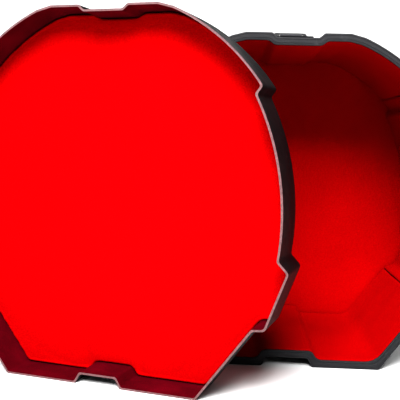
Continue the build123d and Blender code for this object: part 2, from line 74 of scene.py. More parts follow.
# %% [markdown]
# The studio is a pale round floor that curves up into a wall on every side, so that no horizon shows, and
# three large soft lamps. The main lamp is overhead and ahead of the case: it leaves the top of each hollow
# dark and lights its foot, which is what gives the red lining its long soft fade. The other two light the
# wall behind.


# %% Studio
def mesh_object(name, bm):
    """A new object from a bmesh, at the origin."""
    data = bpy.data.meshes.new(name)
    bm.to_mesh(data)
    bm.free()
    made = bpy.data.objects.new(name, data)
    bpy.context.scene.collection.objects.link(made)
    return made


def make_floor(radius=3.6, bend=1.0, rise=2.6, turns=96):
    """A round floor that curves up into a wall on every side: one half section, spun round the upright axis."""
    bm = bmesh.new()
    half_section = [(0.05, 0), (radius, 0)]
    for step in range(1, 13):
        angle = math.radians(90 * step / 12)
        half_section.append((radius + bend * math.sin(angle), bend * (1 - math.cos(angle))))
    half_section.append((radius + bend, rise))
    verts = [bm.verts.new((out, 0, up)) for out, up in half_section]
    edges = [bm.edges.new(pair) for pair in zip(verts, verts[1:])]
    bmesh.ops.spin(bm, geom=verts + edges, cent=(0, 0, 0), axis=(0, 0, 1), angle=math.radians(360), steps=turns,
                   use_merge=True)
    bmesh.ops.remove_doubles(bm, verts=bm.verts[:], dist=0.001)
    bmesh.ops.holes_fill(bm, edges=[e for e in bm.edges if e.is_boundary and e.verts[0].co.z < 0.01])
    bmesh.ops.recalc_face_normals(bm, faces=bm.faces[:])
    for face in bm.faces:
        face.smooth = True
    return mesh_object("studio_floor", bm)


def add_lamp(name, at, aim, size, watts):
    data = bpy.data.lights.new(name, "AREA")
    data.shape, data.size, data.size_y, data.energy = "RECTANGLE", size[0], size[1], watts
    lamp = bpy.data.objects.new(name, data)
    lamp.location = at
    lamp.rotation_euler = (Vector(aim) - Vector(at)).to_track_quat("-Z", "Y").to_euler()
    bpy.context.scene.collection.objects.link(lamp)
    return lamp


floor = make_floor()
floor_paint = bpy.data.materials.new("white_floor_paint")
floor_paint.use_nodes = True
floor_shader = floor_paint.node_tree.nodes["Principled BSDF"]
floor_shader.inputs["Base Color"].default_value = (0.80, 0.80, 0.80, 1)
floor_shader.inputs["Roughness"].default_value = 0.8
floor.data.materials.append(floor_paint)
add_lamp("softbox_front", (-0.4, -2.4, 2.2), (-0.1, -0.2, 0.2), (1.3, 1.5), 225)
add_lamp("lamp_wall_left", (-1.9, 1.4, 2.4), (-0.9, 3.2, 0.4), (1.4, 1.4), 48)
add_lamp("lamp_wall_right", (1.9, 1.4, 2.4), (0.9, 3.2, 0.4), (1.4, 1.4), 48)
world = bpy.data.worlds.new("studio")
world.use_nodes = True
world.node_tree.nodes["Background"].inputs["Color"].default_value = (1, 1, 1, 1)
world.node_tree.nodes["Background"].inputs["Strength"].default_value = 0.015
bpy.context.scene.world = world
bpy.context.scene.view_settings.view_transform = "Standard"
bpy.context.scene.view_settings.look = "High Contrast"
print("floor faces:", len(floor.data.polygons))

# %% [markdown]
# A material is a small program, and shader maths reads best as a formula. This class wraps one socket of a
# node, so that `mask * 0.5 + 0.2` adds the Math nodes itself. Any other node comes from one method, `node`.


# %% Shader maths
class Socket:
    """A node socket that can be added, subtracted and multiplied like a number."""

    def __init__(self, tree, socket):
        self.tree, self.socket = tree, socket

    def node(self, kind, inputs=(), output=0, **settings):
        """A new node with its settings first and then its inputs; returns one of its outputs."""
        made = self.tree.nodes.new(kind)
        for name, value in settings.items():
            if name == "stops":
                ramp = made.color_ramp
                while len(ramp.elements) < len(value):
                    ramp.elements.new(0.5)
                for element, (place, colour) in zip(ramp.elements, value):
                    element.position, element.color = place, (*colour, 1) if len(colour) == 3 else colour
            else:
                setattr(made, name, value)
        for name, value in dict(inputs).items():
            if isinstance(value, Socket):
                self.tree.links.new(value.socket, made.inputs[name])
            else:
                made.inputs[name].default_value = value
        return Socket(self.tree, made.outputs[output])

    def maths(self, operation, first, second=0.0, clamp=False):
        return self.node("ShaderNodeMath", {0: first, 1: second}, operation=operation, use_clamp=clamp)

    def __add__(self, other):
        return self.maths("ADD", self, other)

    def __sub__(self, other):
        return self.maths("SUBTRACT", self, other)

    def __rsub__(self, other):
        return self.maths("SUBTRACT", other, self)

    def __mul__(self, other):
        return self.maths("MULTIPLY", self, other)

    __radd__, __rmul__ = __add__, __mul__

    def wave(self):
        return self.maths("SINE", self)

    def between(self, low, high):
        """0 below low, 1 above high, smooth in between."""
        return self.node(
            "ShaderNodeMapRange",
            {"Value": self, "From Min": low, "From Max": high},
            interpolation_type="SMOOTHSTEP",
        )


class Finish:
    """A material with its Principled shader and the object's own coordinates, in metres."""

    def __init__(self, name, colour, roughness, **fixed):
        self.material = bpy.data.materials.new(name)
        self.material.use_nodes = True
        self.tree = self.material.node_tree
        self.shader = self.tree.nodes["Principled BSDF"]
        self.material.diffuse_color = (*colour, 1)
        self.set("Base Color", (*colour, 1))
        self.set("Roughness", roughness)
        for name, value in fixed.items():
            self.set(name.replace("_", " "), value)
        coordinates = self.tree.nodes.new("ShaderNodeTexCoord")
        self.place = Socket(self.tree, coordinates.outputs["Object"])

    def set(self, name, value):
        socket = self.shader.inputs[name]
        if isinstance(value, Socket):
            self.tree.links.new(value.socket, socket)
        else:
            socket.default_value = value

    def axes(self):
        """The x, y and z of the surface point."""
        split = self.place.node("ShaderNodeSeparateXYZ", {"Vector": self.place})
        names = ("X", "Y", "Z")
        outputs = {n: o for n, o in zip(names, split.socket.node.outputs)}
        return [Socket(self.tree, outputs[n]) for n in names]

    def noise(self, scale, detail=2.0, rough=0.5):
        return self.place.node(
            "ShaderNodeTexNoise", {"Vector": self.place, "Scale": scale, "Detail": detail, "Roughness": rough}
        )

    def cells(self, scale, feature="F1"):
        return self.place.node("ShaderNodeTexVoronoi", {"Vector": self.place, "Scale": scale}, feature=feature)

    def mix(self, factor, first, second):
        """A colour between two colours."""
        return self.place.node(
            "ShaderNodeMix",
            {0: factor, 6: (*first, 1) if isinstance(first, tuple) else first,
             7: (*second, 1) if isinstance(second, tuple) else second},
            output=2,
            data_type="RGBA",
        )

    def relief(self, height, depth, strength=1.0):
        """A bump of that depth in metres."""
        bump = self.place.node(
            "ShaderNodeBump", {"Height": height, "Distance": depth, "Strength": strength}
        )
        self.set("Normal", bump)


print("shader helpers ready")

# %% [markdown]
# The shell is rotationally moulded polyethylene. Its skin has a fine pebbled grain from the mould, is black
# all through, and is duller where it has been handled. Wear shows as faint grey scuffs, not as another
# colour, because there is no paint to lose. A voronoi texture makes the pebbles, and a broad noise makes
# the handled patches.


# %% Moulded plastic
def moulded_plastic(name, colour, grain=0.0011, scuffs=0.5):
    finish = Finish(name, colour, 0.5, Specular_IOR_Level=0.16)
    pebbles = finish.cells(1 / grain)
    patches = finish.noise(9, 4, 0.6).between(0.42, 0.68)
    scratches = finish.noise(60, 5, 0.75).between(0.56, 0.72)
    worn = (patches * scratches) * scuffs
    grey = tuple(c * 2.2 + 0.02 for c in colour)
    finish.set("Base Color", finish.mix(worn, colour, grey))
    finish.set("Roughness", patches * 0.12 + 0.42)
    waves = finish.noise(14, 2, 0.5)
    finish.relief(pebbles * 0.8 + waves * 1.6, 0.00022)
    return finish.material


shell_finish = moulded_plastic("moulded_black", (0.004, 0.004, 0.005))
edging_finish = moulded_plastic("edging_charcoal", (0.021, 0.021, 0.023), grain=0.0007, scuffs=0.7)
fitting_finish = moulded_plastic("nylon_black", (0.014, 0.014, 0.016), grain=0.0005, scuffs=0.3)
print("plastics:", shell_finish.name, edging_finish.name, fitting_finish.name)

# %% [markdown]
# The lining is short red plush. Three things make plush: a fine pile that breaks up the light, faint darker
# and brighter areas where the pile has been stroked one way or the other, and a soft glow at grazing
# angles, which is the shader's sheen. The stroked areas are a slow noise.


# %% Red plush
def red_plush(name, colour=(0.42, 0.0, 0.0022)):
    finish = Finish(
        name, colour, 0.95, Sheen_Weight=0.06, Sheen_Roughness=0.5, Sheen_Tint=(1.0, 0.02, 0.03, 1),
        Specular_IOR_Level=0.01,
    )
    pile = finish.noise(1500, 3, 0.7)
    tufts = finish.cells(520)
    stroked = finish.noise(6, 3, 0.55).between(0.35, 0.7)
    deep = tuple(c * 0.80 for c in colour)
    shade = finish.mix(stroked * 0.55 + pile.between(0.35, 0.75) * 0.35, deep, colour)
    finish.set("Base Color", shade)
    finish.relief(pile * 0.6 + tufts * 0.5 + stroked * 0.8, 0.0006, 0.8)
    return finish.material


plush_finish = red_plush("red_plush")
print("lining:", plush_finish.name)

# %% [markdown]
# Webbing is a flat tape of thick nylon yarns. Its face shows rows of slanting ribs along its length. Its
# length runs along Y or Z on this case and its width along X, so a wave of (Y + Z) crossed with a wave of X
# gives the weave on every stretch without an unwrapped map.


# %% Webbing
def webbing(name, colour=(0.016, 0.016, 0.018), rib=0.0022, yarn=0.0016):
    finish = Finish(name, colour, 0.8, Sheen_Weight=0.25, Sheen_Roughness=0.5)
    x, y, z = finish.axes()
    along = y + z
    across = (x * (2 * math.pi / yarn)).wave()
    ribs = ((along + (x * (math.pi / (4 * yarn))).wave() * (rib * 0.3)) * (2 * math.pi / rib)).wave()
    weave = ribs * 0.6 + across * 0.4
    fuzz = finish.noise(900, 2, 0.6)
    pale = tuple(c * 2.4 + 0.01 for c in colour)
    finish.set("Base Color", finish.mix(weave.between(-0.6, 0.9) * 0.6 + fuzz * 0.25, colour, pale))
    finish.relief(weave * 0.5 + fuzz * 0.4, 0.0004)
    return finish.material


webbing_finish = webbing("webbing_black")
print("webbing ready")

# %% [markdown]
# Bare steel is fully metallic and its colour is the colour of its reflections, dulled here by fingerprints.
# Painted steel isn't metallic until a chip lets the metal show, so one mask drives both its colour and how
# metallic it is. Rubber is matt, with a fine dotted grain and dust in its hollows.


# %% Metal and rubber
def plated_steel(name, colour=(0.60, 0.59, 0.57)):
    finish = Finish(name, colour, 0.24, Metallic=1.0)
    smears = finish.noise(220, 3, 0.6).between(0.35, 0.8)
    dull = tuple(c * 0.72 for c in colour)
    finish.set("Base Color", finish.mix(smears * 0.5, colour, dull))
    finish.set("Roughness", smears * 0.2 + 0.2)
    finish.relief(finish.noise(700, 2, 0.5), 0.00006)
    return finish.material


def painted_steel(name, colour=(0.02, 0.02, 0.022)):
    finish = Finish(name, colour, 0.38, Coat_Weight=0.15)
    chips = finish.noise(420, 4, 0.7).between(0.63, 0.70)
    finish.set("Base Color", finish.mix(chips * 0.7, colour, (0.30, 0.29, 0.28)))
    finish.set("Metallic", chips * 0.8)
    finish.relief(finish.noise(900, 2, 0.5) - chips * 0.6, 0.00008)
    return finish.material


def moulded_rubber(name, colour=(0.02, 0.02, 0.021)):
    finish = Finish(name, colour, 0.62, Specular_IOR_Level=0.35)
    dots = finish.cells(900)
    dust = finish.noise(35, 4, 0.65).between(0.5, 0.75)
    finish.set("Base Color", finish.mix(dust * 0.4, colour, (0.06, 0.06, 0.062)))
    finish.set("Roughness", dust * 0.15 + 0.55)
    finish.relief(dots * 0.9, 0.00016)
    return finish.material


steel_finish = plated_steel("nickel_plated_steel")
paint_finish = painted_steel("black_painted_steel")
grip_finish = moulded_rubber("grip_rubber")
print("metals and rubber ready")

# %% [markdown]
# Base and lid share one outline: a flat foot, a strap channel in the middle of the foot and of the top, a
# big round back, and a stepped side. It is written once, as the corners of its right half in millimetres
# with the bulge of each curved stretch. `grow` moves every wall outwards, as the lid needs, or inwards, as
# the lining needs, and each corner gets its own rounding, because moulded plastic and foam never make a
# sharp corner.

# %% The outline
HEIGHT, HALF_WIDTH = 520.0, 262.5
CHANNEL_FLOOR, CHANNEL_MOUTH = 32.0, 40.0  # half widths of the strap channels
TOP_CHANNEL, FOOT_CHANNEL, BACK_CHANNEL = 7.0, 14.0, 10.0  # how deep each one is
ARC_STEPS, ROUND_STEPS = 16, 4  # faces along a bulged stretch, and round a corner
RIGHT_SIDE = [  # x, z and the bulge of the stretch that follows, from the top centre
    (0, HEIGHT - TOP_CHANNEL, 0),
    (CHANNEL_FLOOR, HEIGHT - TOP_CHANNEL, 0),
    (CHANNEL_MOUTH, HEIGHT, 0),
    (80, HEIGHT, 0),
    (101, HEIGHT - 5.5, 10.6),
    (HALF_WIDTH - 43, HEIGHT - 102, 0),
    (HALF_WIDTH - 50.5, HEIGHT - 112, 17.5),
    (HALF_WIDTH - 13.5, 189, 0),
    (HALF_WIDTH, 175, 0),
    (HALF_WIDTH - 26, 105, 0),
    (HALF_WIDTH - 42, 103.5, 0),
    (144, 0, 0),
    (CHANNEL_MOUTH, 0, 0),
    (CHANNEL_FLOOR, FOOT_CHANNEL, 0),
    (0, FOOT_CHANNEL, 0),
]


def grown_corners(grow):
    """The corners moved outwards by grow, as x, z and the points along the curve that follows each."""
    legs = []
    for (x0, z0, bulge), (x1, z1, _) in zip(RIGHT_SIDE, RIGHT_SIDE[1:]):
        along = Vector((x1 - x0, z1 - z0))
        swing = 2 * math.atan2(2 * bulge, along.length)
        along.normalize()
        turned = [Matrix.Rotation(a, 2) @ along for a in (swing, -swing)]
        legs.append((turned[0], turned[1], bulge))
    moved = []
    for i, (x, z, _) in enumerate(RIGHT_SIDE):
        before = legs[i - 1][1] if i else Vector((1, 0))
        after = legs[i][0] if i < len(legs) else Vector((-1, 0))
        both = before + after
        moved.append(Vector((x, z)) + Vector((-both.y, both.x)) * (grow / (1 + before.dot(after))))
    points = []
    for i, (_, _, bulge) in enumerate(legs):
        a, b = moved[i], moved[i + 1]
        points.append((a, True))
        if bulge:
            chord = (b - a).length
            high = bulge * chord / (Vector(RIGHT_SIDE[i + 1][:2]) - Vector(RIGHT_SIDE[i][:2])).length
            radius = (chord**2 / 4 + high**2) / (2 * high)
            side = Vector((-(b - a).y, (b - a).x)) / chord
            centre = (a + b) / 2 + side * (high - radius)
            sweep = math.asin(chord / (2 * radius))
            for step in range(1, ARC_STEPS):
                angle = sweep * (1 - 2 * step / ARC_STEPS)
                points.append((centre + Matrix.Rotation(angle, 2) @ (side * radius), False))
    points.append((moved[-1], True))
    return points


def outline(grow=0.0, rounding=6.0):
    """Points round the whole outline, clockwise from the top centre, with each sharp corner rounded."""
    right = grown_corners(grow)
    loop = [right[0]] + right[1:-1] + [right[-1]] + [(Vector((-p.x, p.y)), s) for p, s in reversed(right[1:-1])]
    made = []
    for i, (point, sharp) in enumerate(loop):
        back, ahead = loop[i - 1][0] - point, loop[(i + 1) % len(loop)][0] - point
        turn_angle = back.angle(ahead) if sharp else math.pi
        if turn_angle > math.radians(172):
            made.append(point)
            continue
        reach = min(rounding * math.tan((math.pi - turn_angle) / 2), back.length * 0.45, ahead.length * 0.45)
        a, b = point + back.normalized() * reach, point + ahead.normalized() * reach
        for step in range(ROUND_STEPS + 1):
            t = step / ROUND_STEPS
            made.append(a * (1 - t) ** 2 + point * (2 * t * (1 - t)) + b * t**2)
    return [p * MM for p in made]


print("outline points:", len(outline()))

# %% [markdown]
# Every piece is finished in the same few steps: its faces are told to shade smoothly except across real
# corners, it gets its material, it rides on the body that carries it, and it stands for one CAD piece. Four
# helpers do that. Small parts keep the CAD's own shape, so two of the helpers copy it and round its edges
# over.


# %% Finishing a piece
def shade(bm, corner=32):
    """Smooth shading, with every edge sharper than that many degrees left crisp."""
    for face in bm.faces:
        face.smooth = True
    for edge in bm.edges:
        edge.smooth = len(edge.link_faces) == 2 and edge.calc_face_angle(0) < math.radians(corner)


def dress(piece, node, finish, body="base"):
    """The piece stands for that CAD node, in that finish, on that body."""
    if not piece.data.materials:
        piece.data.materials.append(finish)
    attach(piece, body)
    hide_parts(node)
    print(piece.name, len(piece.data.polygons), "faces")
    return piece


def cad_copy(node):
    """A merged copy of a CAD node's mesh, its flat faces whole again."""
    bm = bmesh.new()
    bm.from_mesh(nodes[node].data)
    bmesh.ops.remove_doubles(bm, verts=bm.verts[:], dist=0.002 * MM)
    bmesh.ops.dissolve_limit(bm, angle_limit=math.radians(0.5), verts=bm.verts[:], edges=bm.edges[:])
    return bm


def broken_edges(name, node, finish, width=0.4, body="base", segments=2):
    """The CAD shape with its sharp edges rounded over, as moulding or tumbling leaves them; width in mm."""
    bm = cad_copy(node)
    shade(bm)
    piece = mesh_object(name, bm)
    if width:
        bevel = piece.modifiers.new("broken_edges", "BEVEL")
        bevel.width, bevel.segments, bevel.limit_method = width * MM, segments, "ANGLE"
        bevel.angle_limit, bevel.use_clamp_overlap, bevel.harden_normals = math.radians(32), True, False
    return dress(piece, node, finish, body)


print("finishing helpers ready")

# %% [markdown]
# A moulded shell is one wall that folds over at the closed end. It is drawn as two skins, an outer and an
# inner one, each a row of outline loops bridged into a surface. The last loops turn through a quarter
# circle, which gives the large soft corner that melted plastic needs. The closed end carries a sunk round
# panel and the strap channel, and a flat cut on each side of the channel gives it its edges before its
# floor is pushed in.

# %% Moulded shells
PANEL_RADIUS, PANEL_SINK = 165.0, 2.5
CENTRE = Vector((0, 0, HEIGHT / 2 * MM))
UPRIGHT = Matrix.Rotation(math.radians(90), 4, "X")


def outline_loop(bm, grow, y, rounding):
    """The outline as a closed loop of edges at that depth, in mm."""
    verts = [bm.verts.new((p.x, y * MM, p.y)) for p in outline(grow, rounding)]
    return [bm.edges.new(pair) for pair in zip(verts, verts[1:] + verts[:1])]


def bridge(bm, loops):
    """Joins each loop to the next. Loops in one plane pair up wrongly, so all are first spread out along Y."""
    spread = 0.1
    rows = [{v for e in loop for v in e.verts} for loop in loops]
    pairs = list(zip(loops, loops[1:]))
    closed = loops[0] is loops[-1]
    for step, row in enumerate(rows[:-1] if closed else rows):
        bmesh.ops.translate(bm, vec=(0, step * spread, 0), verts=list(row))
    faces = [f for a, b in pairs for f in bmesh.ops.bridge_loops(bm, edges=a + b)["faces"]]
    for step, row in enumerate(rows[:-1] if closed else rows):
        bmesh.ops.translate(bm, vec=(0, -step * spread, 0), verts=list(row))
    return faces


def skin(bm, index, grow, near, far, corner, rounding, channel, waves=()):
    """One skin of a shell, its faces marked with index; waves are (y, change of grow) pairs. Returns its rim."""
    profile = [(near, grow)] + [(y, grow + change) for y, change in waves]
    profile += [(far - corner - BACK_CHANNEL - 4, grow), (far - corner - 2, grow)]
    for step in range(7):
        angle = math.radians(90 * step / 6)
        profile.append((far - corner * (1 - math.sin(angle)), grow - corner * (1 - math.cos(angle))))
    profile.append((far, grow - corner - 2.5))
    older = set(bm.faces)
    loops = [outline_loop(bm, g, y, rounding) for y, g in profile]
    bridge(bm, loops)
    rings = []
    for inset, sink in ((0, 0), (0.6, 0.3), (1.6, PANEL_SINK - 0.3), (2.4, PANEL_SINK)):
        facing = Matrix.Translation(CENTRE + Vector((0, (far - sink) * MM, 0))) @ UPRIGHT
        made = bmesh.ops.create_circle(
            bm, segments=len(loops[0]), radius=(PANEL_RADIUS - inset) * MM, matrix=facing
        )["verts"]
        rings.append(list({e for v in made for e in v.link_edges}))
    bridge(bm, [loops[-1]] + rings)
    bmesh.ops.contextual_create(bm, geom=rings[-1])
    for face in set(bm.faces) - older:
        face.material_index = index
    start = (far - corner - BACK_CHANNEL - 4) * MM
    for x in (side * half for half in channel for side in (-1, 1)):
        end = [f for f in bm.faces if f.material_index == index and f.calc_center_median().y > start]
        around = list({v for f in end for v in f.verts}) + list({e for f in end for e in f.edges}) + end
        bmesh.ops.bisect_plane(bm, geom=around, dist=0.001 * MM, plane_co=(x * MM, 0, 0), plane_no=(1, 0, 0))
    for vert in {v for f in bm.faces if f.material_index == index for v in f.verts}:
        if abs(vert.co.x) < (channel[0] + 0.2) * MM and vert.co.y > (far - corner - 1) * MM:
            across = Vector((vert.co.x, vert.co.z - CENTRE.z)).length
            if across < (PANEL_RADIUS + 0.5) * MM:
                vert.co.y = (far - BACK_CHANNEL) * MM
            else:
                vert.co.y -= BACK_CHANNEL * MM
    return loops[0]


def moulded_shell(name, outer, inner, place=Matrix()):
    """Two skins joined at the rim: the outer has material index 0, the rim 1 and the inner 2."""
    bm = bmesh.new()
    for face in bridge(bm, [skin(bm, 0, *outer), skin(bm, 2, *inner)]):
        face.material_index = 1
    bmesh.ops.recalc_face_normals(bm, faces=bm.faces[:])
    bmesh.ops.transform(bm, matrix=place, verts=bm.verts[:])
    shade(bm, 40)
    piece = mesh_object(name, bm)
    bevel = piece.modifiers.new("rim_rounding", "BEVEL")
    bevel.width, bevel.segments, bevel.limit_method = 0.55 * MM, 2, "ANGLE"
    bevel.angle_limit = math.radians(40)
    bevel.material = 0
    return piece


shell_low, shell_high = (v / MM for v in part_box("base_shell"))
MOUTH, BACK = shell_low.y, shell_high.y
WALL, END_WALL = 4.0, 6.0
lid_stop = [(MOUTH + y, change) for y, change in ((84, 0), (86, -1.2), (91, -1.2), (93, 0))]
base_outer = (0, MOUTH, BACK, 13, 6, (CHANNEL_FLOOR, CHANNEL_MOUTH), lid_stop)
base_inner = (-WALL, MOUTH, BACK - END_WALL, 9, 4, (CHANNEL_FLOOR + WALL, CHANNEL_MOUTH + WALL))
base_shell = moulded_shell("base_shell_moulding", base_outer, base_inner)
for _ in range(3):  # the same black on the outside, the rim and the inside
    base_shell.data.materials.append(shell_finish)
dress(base_shell, "base_shell", shell_finish, "base")
print("base wall", WALL, "mm, depth", round(BACK - MOUTH), "mm")

# %% [markdown]
# The lid is the same moulding a size larger, so that it slides over the base. Its rim face is painted a matt
# pale pinkish grey, a painted highlight along the lit edge of the black rim, and its inside wall is painted dark
# red, a painted reflection of the red pad in the black plastic. It stands beside the base, turned a little, so
# it is modelled about its own rim and put in place at the end.

# %% The lid
LID_GROW, LID_INNER, LID_DEPTH, LID_END = 8.0, 5.0, 87.0, 5.0
LID_X, LID_AHEAD, LID_TURN = -278.0, 132.0, 16.2
lid_place = Matrix.Translation(Vector((LID_X, MOUTH - LID_AHEAD, LID_GROW)) * MM)
lid_place = lid_place @ Matrix.Rotation(math.radians(-LID_TURN), 4, "Z")
lid_channel = CHANNEL_FLOOR - LID_GROW * math.tan(math.atan2(FOOT_CHANNEL, CHANNEL_MOUTH - CHANNEL_FLOOR) / 2)


def painted_rim_highlight(name, colour=(0.135, 0.068, 0.071)):
    """A painted highlight: the rim face painted pale pinkish grey as the lit edge of the black moulding, mottled
    darker by noise, with a fine bump.
    """
    finish = Finish(name, colour, 0.7)
    rim_mottle = finish.noise(260, 3, 0.7)
    # The pale colour is a painted highlight, mottled darker in patches by noise.
    finish.set("Base Color", finish.mix(rim_mottle.between(0.3, 0.7), tuple(c * 0.6 for c in colour), colour))
    finish.relief(rim_mottle, 0.0002)
    return finish.material


def painted_pad_reflection(name, colour=(0.13, 0.0, 0.010)):
    """A painted reflection: the black inner wall painted dark red as the red pad reflected in it, darker in
    patches by noise, with a fine bump.
    """
    finish = Finish(name, colour, 0.95, Specular_IOR_Level=0.05)
    fine_noise = finish.noise(1300, 3, 0.7)
    reflection_patches = finish.noise(18, 3, 0.6).between(0.35, 0.75)
    # The dark red is a painted reflection of the red pad, darker in patches by noise.
    finish.set("Base Color", finish.mix(reflection_patches * 0.5 + fine_noise * 0.4, tuple(c * 0.45 for c in colour), colour))
    finish.relief(fine_noise, 0.0004)
    return finish.material


# Both are painted light: the pale rim is a painted highlight, and the dark red inside is a painted reflection of
# the red pad.
rim_highlight_finish, pad_reflection_finish = painted_rim_highlight("rim_painted_highlight"), painted_pad_reflection("painted_red_reflection")
lid_outer = (LID_GROW, 0, LID_DEPTH, 11, 7, (lid_channel, lid_channel + 8))
lid_inner = (LID_INNER, 0, LID_DEPTH - LID_END, 8, 5, (lid_channel + 3, lid_channel + 11))
lid_shell = moulded_shell("lid_shell_moulding", lid_outer, lid_inner, lid_place)
for finish in (shell_finish, rim_highlight_finish, pad_reflection_finish):
    lid_shell.data.materials.append(finish)
dress(lid_shell, "lid_shell", shell_finish, "lid")

# %% [markdown]
# The mouth of the base is finished with an extruded edging. Its face covers the cut ends of the wall and of
# the foam, and its stem is pressed in between them. Its section is drawn once, as pairs of how far in and
# how deep, and each corner of the section becomes one loop of the outline. Two fine lines run round its
# face.

# %% Edging
EDGING_FACE = 3.0
section = [  # how far the wall is grown, and the depth behind the mouth
    (0, 0), (0, -2.0), (-0.3, -2.7), (-1.0, -EDGING_FACE), (-2.5, -EDGING_FACE), (-2.9, -2.4), (-3.5, -2.4),
    (-3.9, -EDGING_FACE), (-8.4, -EDGING_FACE), (-8.8, -2.4), (-9.4, -2.4), (-9.8, -EDGING_FACE),
    (-11.3, -EDGING_FACE), (-12.0, -2.7), (-12.3, -2.0), (-12.3, 0), (-5.9, 0), (-5.9, 9), (-4.3, 9), (-4.3, 0),
]


def edging_rounding(grow):
    """The corners get rounder from the stem inwards, until they follow the soft corners of the lining."""
    inwards = min(1, max(0, -grow - 5.9) / 6.4)
    return 5 + 29 * inwards**1.5


bm = bmesh.new()
edging_loops = [outline_loop(bm, grow, MOUTH + y, edging_rounding(grow)) for grow, y in section]
bridge(bm, edging_loops + edging_loops[:1])
bmesh.ops.recalc_face_normals(bm, faces=bm.faces[:])
shade(bm, 30)
edging = mesh_object("base_mouth_edging", bm)
dress(edging, "base_edging", edging_finish, "base")

# %% [markdown]
# Each foam panel is a flat sheet of foam with plush glued over it. The two pads start as a copy of the CAD
# solid and the wall panels as a band drawn from the outline. Each is remeshed into an even net, and then
# softened: the corners are relaxed until they round over, the face swells a little between the glued edges,
# and a slow seeded noise gives it the small dips of hand-laid foam.


# %% Foam helpers
def remeshed(name, bm, voxel):
    """The shape as an even net of faces about voxel mm wide."""
    bmesh.ops.triangulate(bm, faces=bm.faces[:])
    rough = mesh_object(name + "_rough", bm)
    net = rough.modifiers.new("net", "REMESH")
    net.mode, net.voxel_size, net.adaptivity = "VOXEL", voxel * MM, 0.0
    even = bpy.data.meshes.new_from_object(rough.evaluated_get(bpy.context.evaluated_depsgraph_get()))
    rough_data = rough.data
    bpy.data.objects.remove(rough)
    bpy.data.meshes.remove(rough_data)
    made = bmesh.new()
    made.from_mesh(even)
    bpy.data.meshes.remove(even)
    return made


def relax(bm, rounds, factor=0.5):
    for _ in range(rounds):
        bmesh.ops.smooth_vert(
            bm, verts=bm.verts[:], factor=factor, use_axis_x=True, use_axis_y=True, use_axis_z=True
        )


def dip(point, size, seed):
    """A slow seeded noise from -1 to 1; size is its usual width in mm."""
    return noise.noise(point / (size * MM) + Vector((seed, seed * 0.37, seed * 1.91)))


def lay_foam(name, node, voxel, rounds, dips, body="base", place=None, sculpt=None, bm=None):
    """A plush-covered foam piece from a CAD solid or from bm; it is sculpted with place taken off."""
    bm = bm or cad_copy(node)
    if place:
        bmesh.ops.transform(bm, matrix=place.inverted(), verts=bm.verts[:])
    bm = remeshed(name, bm, voxel)
    relax(bm, rounds)
    bm.normal_update()
    seed = float(len(node))
    moves = []
    for vert in bm.verts:
        height = sum(dip(vert.co, size, seed) * deep for size, deep in dips)
        if sculpt:
            height += sculpt(vert.co, vert.normal)
        moves.append(vert.normal * (height * MM))
    for vert, move in zip(bm.verts, moves):
        vert.co += move
    if place:
        bmesh.ops.transform(bm, matrix=place, verts=bm.verts[:])
    for face in bm.faces:
        face.smooth = True
    piece = mesh_object(name, bm)
    return dress(piece, node, plush_finish, body)


# %% [markdown]
# Foam can't follow a tight corner, so the inside of the lining is much rounder than the wall behind it. The
# whole lining is drawn as one closed band, its outer side close to the wall and its inner side with wide
# curves. Two cuts through the middle of the case then leave one panel of it, and the cut ends are filled.

# %% Wall linings
LINING_OUT, LINING_IN, STEM_IN, SOFT_CORNER = -4.3, -12.3, -6.2, 34.0
STEM_DEEP = 9.6
SEAM_HIGH, SEAM_LOW, SEAM_GAP = 47.0, 126.0, 0.3  # rays where the panels meet, in degrees from the top


def lining_band():
    """The lining of all four walls as one closed band."""
    bm = bmesh.new()
    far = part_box("base_lining_top")[1].y / MM
    profile = [(STEM_IN, MOUTH + 0.3), (STEM_IN, MOUTH + STEM_DEEP), (LINING_OUT, MOUTH + STEM_DEEP + 0.4),
               (LINING_OUT, far), (LINING_IN, far), (LINING_IN, MOUTH + 0.3)]
    loops = [outline_loop(bm, grow, y, SOFT_CORNER if grow == LINING_IN else 4) for grow, y in profile]
    bridge(bm, loops + loops[:1])
    bmesh.ops.recalc_face_normals(bm, faces=bm.faces[:])
    return bm


def lining_panel(first, last):
    """What is left of the band between two rays from the middle of the case."""
    bm = lining_band()
    for angle, side in ((first, -1), (last, 1)):
        turn_to = math.radians(angle)
        across = Vector((math.cos(turn_to), 0, -math.sin(turn_to))) * side
        everything = bm.verts[:] + bm.edges[:] + bm.faces[:]
        seam = CENTRE - across * (SEAM_GAP / 2 * MM)
        bmesh.ops.bisect_plane(bm, geom=everything, dist=0.001 * MM, plane_co=seam, plane_no=across,
                               clear_outer=True)
        open_edges = [e for e in bm.edges if e.is_boundary]
        bmesh.ops.holes_fill(bm, edges=open_edges, sides=0)
    return bm


def lining_sculpt(point, normal):
    """The lining sinks a little at the mouth, where the edging presses on it."""
    y = point.y / MM - MOUTH
    return -0.5 * math.exp(-((y / 10) ** 2)) - 0.3


panel_rays = {
    "top": (-SEAM_HIGH, SEAM_HIGH),
    "right": (SEAM_HIGH, SEAM_LOW),
    "bottom": (SEAM_LOW, 360 - SEAM_LOW),
    "left": (360 - SEAM_LOW, 360 - SEAM_HIGH),
}
for side, (first, last) in panel_rays.items():
    lay_foam(f"lining_{side}", f"base_lining_{side}", 3.0, 3, ((60, 0.6), (22, 0.2)), sculpt=lining_sculpt,
             bm=lining_panel(first, last))

# %% [markdown]
# The pad at the closed end is glued flat to the moulding, and the thick pad of the lid is a loose press
# fit. Both swell in the middle and pull in towards their border, where the plush is stretched round the
# edge of the foam.


